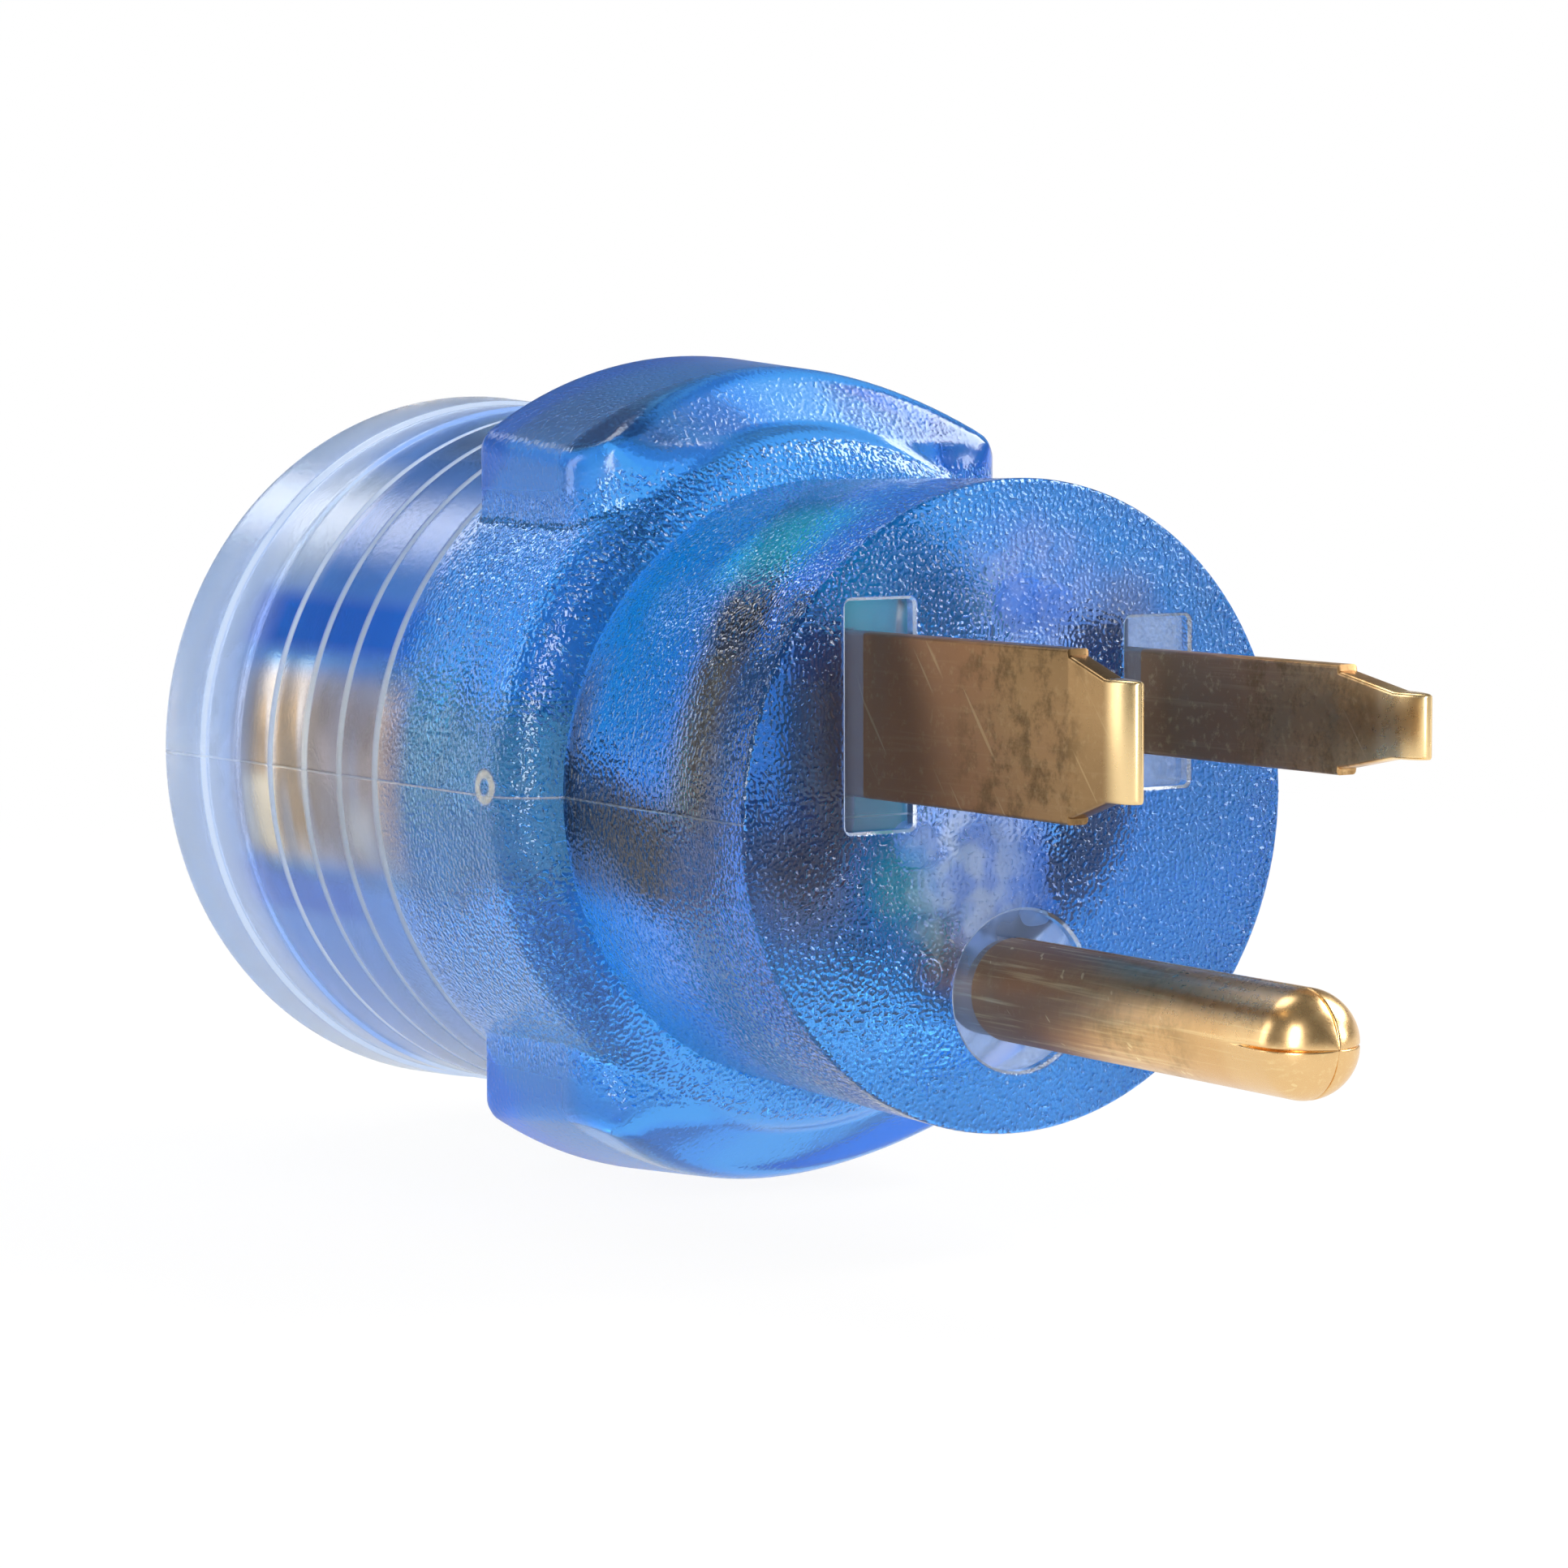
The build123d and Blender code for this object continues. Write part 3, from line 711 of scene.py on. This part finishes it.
def blade_loops(x, half_width, shoulder, tip_half_width, reach):
    """Loops of the flat from its tail to its folded tip, with a notch where the taper starts."""
    sections = []
    for y in (tail_y, 4.0, 0.0, -8.0, -16.0, 0.4 - shoulder, 0.08 - shoulder):
        sections.append((y, half_width, blade_half_thickness))
    taper = reach - fold_length - shoulder
    for share in np.concatenate([[0.0], np.linspace(0.03, 0.97, 9)]):
        width = half_width - blade_notch + share * (tip_half_width - half_width + blade_notch)
        sections.append((-shoulder - share * taper, width, blade_half_thickness))
    for turn in np.linspace(0, pi / 2, 9):
        width = tip_half_width - 0.12 * (1 - cos(turn))
        thickness = blade_half_thickness - fold_round + fold_round * cos(turn)
        sections.append((-reach + fold_length * (1 - sin(turn)), width, thickness))
    loops = []
    for y, width, thickness in sections:
        outline = strip_section(width, thickness)
        loops.append([(x + across, y, blade_z + up) for across, up in outline])
    return loops


def blade_mesh(node, half_width, shoulder, tip_half_width):
    """Blade with its neck and the clasp round its wire."""
    low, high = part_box(node)
    x = (low.x + high.x) / 2 / mm
    clasp_y = high.y / mm - clasp_outer_radius
    bm = bmesh.new()
    loft(bm, blade_loops(x, half_width, shoulder, tip_half_width, -low.y / mm))
    neck = strip_section(neck_half_width, blade_half_thickness)
    neck_ends = (tail_y - 0.5, clasp_y - clasp_inner_radius - 0.1)
    loft(bm, [[(x + across, y, blade_z + up) for across, up in neck] for y in neck_ends])
    loft(bm, clasp_loops(x, clasp_y, blade_z - clasp_drop, blade_z + neck_half_width))
    return finished_mesh(bm, node, 40)


def tarnished_brass(name, tone, bareness, bright_from):
    """Rolled brass: brown tarnish that fades towards the tip, dark stains, scratches and draw lines, made
    lighter or darker per piece by tone as painted light and shade.
    """
    material, shade, place = new_finish(name)
    out = (place.parts()[1] * -1.0).rise(-2, 33)
    stains = shade.noise(place, 380.0, 8.0, 0.72)
    blotches = shade.noise(place, 90.0, 3.0, 0.6)
    along = shade.node("ShaderNodeMapping", {}, {"Vector": place, "Scale": (1.0, 0.03, 1.0)})
    strokes = shade.noise(along, 2600.0, 3.0, 0.65)
    slanting = shade.node("ShaderNodeMapping", {}, {"Vector": place, "Rotation": (-0.9, 0.0, 0.0)})
    slanting = shade.node("ShaderNodeMapping", {}, {"Vector": slanting, "Scale": (1.0, 0.04, 1.0)})
    scratches = shade.noise(slanting, 1500.0, 1.0, 0.5).rise(0.71, 0.75)
    fine = shade.noise(place, 1500.0, 4.0, 0.65)
    worn = (out + (blotches - 0.5) * 0.9 + bareness * (strokes - 0.2)).rise(0.25, 1.05)
    stained = stains.rise(0.44, 0.64) * (1 - out.rise(0.8, 0.95)) * out.rise(0.2, 0.5)
    stained = stained * (1 - 0.7 * bareness)
    bright_tip = (1.0, 0.74, 0.38, 1.0)
    # tone lightens or darkens every colour of this brass: painted light and shade.
    brown = tuple(tone**0.5 * channel for channel in (0.36, 0.185, 0.085)) + (1.0,)
    gold, olive, rubbed = (
        tuple(min(tone * channel, 1.0) for channel in colour) + (1.0,)
        for colour in ((0.52, 0.32, 0.14), (0.15, 0.09, 0.035), (0.75, 0.52, 0.26))
    )
    base = shade.mix(stained * 0.75, shade.mix(worn, brown, gold), olive)
    base = shade.mix(fine.rise(0.52, 0.74) * 0.35 * (1 - bareness), base, rubbed)
    base = shade.mix(strokes.rise(0.52, 0.7) * (0.12 + 0.4 * bareness), base, rubbed)
    base = shade.mix(scratches * 0.6, base, rubbed)
    # Bright band at the fold: partly rubbed brass, partly painted highlight.
    rubbed_and_highlit_tip = out.rise(bright_from, bright_from + 0.04) * (0.9 - 0.9 * bareness)
    base = shade.mix(rubbed_and_highlit_tip, base, bright_tip)
    roughness = 0.42 - 0.14 * worn + 0.1 * stained + 0.12 * (fine - 0.5)
    height = strokes * bareness + fine * 0.6
    bump = shade.node("ShaderNodeBump", {}, {"Strength": 0.15, "Distance": 0.01 * mm, "Height": height})
    metal = {"Base Color": base, "Metallic": 0.92 + 0.08 * worn, "Roughness": roughness, "Normal": bump}
    set_surface(shade, metal)
    return material


# The same brass is darker on the wide blade as painted shade, and lighter on the narrow blade and the pin as
# painted light.
wide_mesh = blade_mesh("wide_blade", half_width=6.1, shoulder=24.4, tip_half_width=4.25)
narrow_mesh = blade_mesh("narrow_blade", half_width=4.0, shoulder=22.5, tip_half_width=2.4)
wide_blade = add_piece("wide_blade_strip", wide_mesh)
narrow_blade = add_piece("narrow_blade_strip", narrow_mesh)
dress(wide_blade, tarnished_brass("wide_blade_brass", tone=0.56, bareness=0.0, bright_from=0.95))
dress(narrow_blade, tarnished_brass("narrow_blade_brass", tone=1.4, bareness=0.0, bright_from=0.9))
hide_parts("wide_blade")
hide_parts("narrow_blade")

# Ground pin: a tube rolled from brass sheet, so a seam runs along its top. Four petals of the sheet are
# folded in to close the domed tip. Inside the nose the tube is drawn down to a crimp barrel.
pin_low, pin_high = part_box("ground_pin")
pin_radius = 3.95
pin_root_radius = 3.75
pin_reach = -pin_low.y / mm
crimp_radius = 2.6
crimp_front = 9.0
crimp_rear = pin_high.y / mm
petal_length = 6.0
seam_half_width = 0.07
seam_depth = 0.35
petal_crease = 0.16
petal_crease_half_width = 0.7


def pin_profile():
    """Stations and radii of the pin from its crimp barrel to the tip of its dome."""
    dome_y = pin_radius - pin_reach
    profile = [
        (crimp_rear, crimp_radius - 0.25),
        (crimp_rear - 0.3, crimp_radius),
        (crimp_front, crimp_radius),
        (tail_y, pin_root_radius),
        (pocket_depth, pin_root_radius),
        (pocket_depth - 0.02, pin_radius),
    ]
    for y in spread((pocket_depth - 0.3, dome_y, 40)):
        profile.append((y, pin_radius))
    for turn in np.linspace(0, pi / 2, 26)[:-1]:
        profile.append((dome_y - pin_radius * sin(turn), pin_radius * cos(turn)))
    return profile


def pin_mesh():
    """Turned skin of the pin with its lengthwise seam and the creases between the petals."""
    quarter = spread((0, 2.4, 8), (2.4, 12, 6), (12, 78, 14), (78, 87.6, 6), (87.6, 90, 8))
    turns = np.radians(np.concatenate([quarter + 90 * i for i in range(4)]))
    top = pi / 2
    bm = bmesh.new()
    loops = []
    for y, radius in pin_profile():
        loop = []
        for turn in turns:
            lengthwise = abs(radius * sin(turn - top)) if sin(turn) > 0 else radius
            nearest = radius * min(abs(sin(turn)), abs(cos(turn)))
            in_petals = min(1.0, max(0.0, petal_length - pin_reach - y))
            depth = seam_depth * np.exp(-((lengthwise / seam_half_width) ** 2)) if y < tail_y else 0.0
            slit = seam_depth * np.exp(-((nearest / seam_half_width) ** 2))
            crease = petal_crease * np.exp(-((nearest / petal_crease_half_width) ** 2))
            depth = max(depth, in_petals * slit) + in_petals * crease * (1 - radius / pin_radius)
            r = max(radius - depth, 0.02)
            loop.append(bm.verts.new((r * cos(turn) * mm, y * mm, (pin_z + r * sin(turn)) * mm)))
        loops.append(loop)
    for first, second in zip(loops, loops[1:]):
        add_band(bm, first, second)
    bm.faces.new(loops[0])
    tip = bm.verts.new((0, (seam_depth - pin_reach) * mm, pin_z * mm))
    for i in range(len(turns)):
        bm.faces.new((loops[-1][i], loops[-1][(i + 1) % len(turns)], tip)).smooth = True
    return finished_mesh(bm, "ground_pin_tube", 50)


ground_pin = add_piece("ground_pin_tube", pin_mesh())
dress(ground_pin, tarnished_brass("pin_brass", tone=1.5, bareness=0.7, bright_from=0.95))
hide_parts("ground_pin")


# Outlet contacts: bright brass leaves that grip the blades of the plug, each clamped by a steel clip.
# They stand in the carrier's pockets and show through the barrel.
def sheet_metal(name, colour, roughness, grain_scale):
    """Bare rolled sheet with a faint cloudy sheen."""
    material, shade, place = new_finish(name)
    cloud = shade.noise(place, 180.0, 4.0, 0.6)
    stretched = shade.node("ShaderNodeMapping", {}, {"Vector": place, "Scale": (1.0, 0.08, 1.0)})
    grain = shade.noise(stretched, grain_scale, 2.0, 0.6)
    dull = tuple(0.62 * channel for channel in colour) + (1.0,)
    base = shade.mix(cloud.rise(0.35, 0.7), dull, colour + (1.0,))
    wave = shade.noise(place, 110.0, 1.0, 0.5)
    height = grain * 0.003 + wave
    bump = shade.node("ShaderNodeBump", {}, {"Strength": 1.0, "Distance": 1.5 * mm, "Height": height})
    roughness = roughness + 0.15 * (cloud - 0.5)
    metal = {"Base Color": base, "Metallic": 1.0, "Roughness": roughness, "Normal": bump}
    set_surface(shade, metal)
    return material


contact_brass = sheet_metal("contact_brass", (0.98, 0.82, 0.58), 0.2, 3800.0)
spring_steel = sheet_metal("spring_steel", (0.6, 0.61, 0.63), 0.28, 5000.0)
copper = sheet_metal("copper", (0.72, 0.36, 0.2), 0.35, 2400.0)


# Wires: stranded copper in thick vinyl, black on the two live poles and green on the ground.
# Each runs from the crimp barrel of its prong to that of its contact, bedded in the blue plastic.
def wire_vinyl(name, colour):
    """Extruded vinyl with faint draw lines and a slightly uneven tone."""
    material, shade, place = new_finish(name)
    tone = shade.noise(place, 160.0, 3.0, 0.5)
    lines = shade.noise(place, 1400.0, 2.0, 0.5)
    deep = tuple(0.7 * channel for channel in colour) + (1.0,)
    base = shade.mix(tone.rise(0.3, 0.7), deep, colour + (1.0,))
    bump = shade.node("ShaderNodeBump", {}, {"Strength": 0.2, "Distance": 0.02 * mm, "Height": lines})
    vinyl = {"Base Color": base, "Roughness": 0.35 + 0.2 * (tone - 0.5), "Normal": bump}
    set_surface(shade, vinyl)
    return material


black_vinyl = wire_vinyl("black_insulation", (0.016, 0.016, 0.018))
green_vinyl = wire_vinyl("green_insulation", (0.0, 0.6, 0.4))
pole_vinyl = {"wide": black_vinyl, "narrow": black_vinyl, "ground": green_vinyl}
for pole, vinyl in pole_vinyl.items():
    dress_node(f"{pole}_contact", contact_brass)
    dress_node(f"{pole}_contact_spring", spring_steel)
    dress_node(f"{pole}_wire_conductor", copper)
    dress_node(f"{pole}_wire_insulation", vinyl)


# Outlet face: a milky moulding let into the rear, with three curved slots for the blades of a locking plug.
# It shows as a pale ring through the rim of the body.
def milky_plastic():
    """Milky moulding: mostly diffuse, with some light let through."""
    bluish = (0.72, 0.81, 0.93, 1.0)
    whitish = (0.8, 0.87, 0.96, 1.0)
    material, shade, place = new_finish("clear_insulator")
    cloud = shade.noise(place, 220.0, 3.0, 0.5)
    grain = shade.noise(place, 2600.0, 2.0, 0.5)
    base = shade.mix(cloud, bluish, whitish)
    bump = shade.node("ShaderNodeBump", {}, {"Strength": 0.3, "Distance": 0.02 * mm, "Height": grain})
    plastic = {
        "Base Color": base,
        "Roughness": 0.22 + 0.1 * cloud,
        "IOR": 1.5,
        "Transmission Weight": 0.3,
        "Normal": bump,
    }
    set_surface(shade, plastic)
    return material


dress_node("outlet_face", milky_plastic())


# Studio: a white sweep under an even white surround, with soft boxes overhead and at both sides of the
# camera, which stands where the photograph was taken from.
def white_floor():
    """White floor that keeps the object's shadow and is as white as the surround to the camera."""
    soft_white = (0.93, 0.93, 0.93, 1.0)
    bright_white = (0.96, 0.96, 0.96, 1.0)
    material, shade, place = new_finish("white_sweep")
    paper = shade.noise(place, 40.0, 2.0, 0.5)
    base = shade.mix(paper, soft_white, bright_white)
    matte = shade.node("ShaderNodeBsdfDiffuse", {}, {"Color": base})
    rays = shade.node("ShaderNodeLightPath", {}, {}, "Is Camera Ray")
    seen = rays.socket.node.outputs
    shown = rays.most(*(Shade(shade.tree, seen[kind]) for kind in ("Is Glossy Ray", "Is Transmission Ray")))
    glow = shade.node("ShaderNodeEmission", {}, {"Color": (1.0, 1.0, 1.0, 1.0), "Strength": 1.0})
    far = shade.node("ShaderNodeVectorMath", {"operation": "LENGTH"}, {0: place}, 1).rise(0.12, 0.4)
    surface = shade.node("ShaderNodeMixShader", {}, {0: shown * (0.93 + 0.07 * far), 1: matte, 2: glow})
    shade.node("ShaderNodeOutputMaterial", {}, {"Surface": surface})
    return material


floor_half = 3.0
floor_gap = 0.2 * mm
floor_z = body_low.z - floor_gap
floor_mesh = bpy.data.meshes.new("sweep")
corners = [(-1, -1), (1, -1), (1, 1), (-1, 1)]
floor_mesh.from_pydata([(x * floor_half, y * floor_half, floor_z) for x, y in corners], [], [(0, 1, 2, 3)])
floor = add_piece("sweep", floor_mesh)
floor_mesh.materials.append(white_floor())

camera_place = Vector((-201.909, -282.371, 32.187)) * mm
camera_right = Vector((0.84207, -0.53935, -0.00300))
camera_up = Vector((0.04956, 0.07184, 0.99618))
camera_ahead = camera_up.cross(camera_right)

# The surround is white as far as the camera sees it; above and to the sides the room is dimmer
even_light = 0.55
mirrored_room = 0.16
lit_room = 0.95
surround = bpy.data.worlds.new("white_surround")
bpy.context.scene.world = surround
surround.use_nodes = True
surround.node_tree.nodes.clear()
sky = Shade(surround.node_tree)
rays = sky.node("ShaderNodeLightPath", {}, {}, "Is Camera Ray")
seen = rays.socket.node.outputs
glossy = Shade(sky.tree, seen["Is Glossy Ray"])
through = Shade(sky.tree, seen["Is Transmission Ray"])
direction = sky.node("ShaderNodeTexCoord", {}, {}, "Generated")
ahead = sky.node("ShaderNodeVectorMath", {"operation": "DOT_PRODUCT"}, {0: direction, 1: camera_ahead}, 1)
up = sky.node("ShaderNodeVectorMath", {"operation": "DOT_PRODUCT"}, {0: direction, 1: (0.0, 0.0, 1.0)}, 1)
mirrored = glossy * (1 - through)
room = even_light + mirrored * (mirrored_room - even_light) + through * (lit_room - even_light)
behind = (through * ahead.rise(0.0, 0.4) + mirrored * ahead.rise(0.3, 0.85)) * (1 - up.rise(0.06, 0.22))
backdrop = rays.most(behind)
strength = room + backdrop * (1 - room)
white = sky.node("ShaderNodeBackground", {}, {"Color": (1.0, 1.0, 1.0, 1.0), "Strength": strength})
sky.node("ShaderNodeOutputWorld", {}, {"Surface": white})


def soft_box(name, direction, distance, width, height, brightness):
    """Rectangular lamp aimed at the middle of the body, with an even brightness over its face."""
    middle_of_body = Vector((0.0, 0.03, 0.0))
    aim = -Vector(direction).normalized()
    lamp = bpy.data.lights.new(name, "AREA")
    lamp.shape = "RECTANGLE"
    lamp.size = width
    lamp.size_y = height
    lamp.energy = brightness * pi * width * height
    holder = bpy.data.objects.new(name, lamp)
    holder.location = middle_of_body - aim * distance
    holder.rotation_euler = aim.to_track_quat("-Z", "Y").to_euler()
    bpy.context.scene.collection.objects.link(holder)


soft_box("overhead_box", (0.745, -0.17, 0.643), 0.8, 0.4, 0.4, 12.0)
soft_box("left_box", (-0.78, -0.6, 0.2), 0.8, 0.2, 0.8, 12.0)
soft_box("far_left_box", (-0.8, 0.58, 0.15), 0.8, 0.22, 0.7, 3.5)
soft_box("front_right_box", (0.72, -0.64, 0.28), 0.8, 0.15, 0.3, 10.0)
soft_box("top_back_box", (-0.06, 0.49, 0.85), 0.8, 0.3, 0.3, 4.0)
soft_box("rear_box", (-0.12, 0.84, 0.5), 0.7, 0.14, 0.12, 5.0)

view = bpy.data.cameras.new("camera")
view.lens = 106.817
view.sensor_width = 36.0
view.clip_start = 0.01
camera = bpy.data.objects.new("camera", view)
turned = Matrix((camera_right, camera_up, camera_right.cross(camera_up))).transposed()
camera.matrix_world = Matrix.Translation(camera_place) @ turned.to_4x4()
bpy.context.scene.collection.objects.link(camera)
bpy.context.scene.camera = camera
bpy.context.scene.view_settings.view_transform = "Standard"
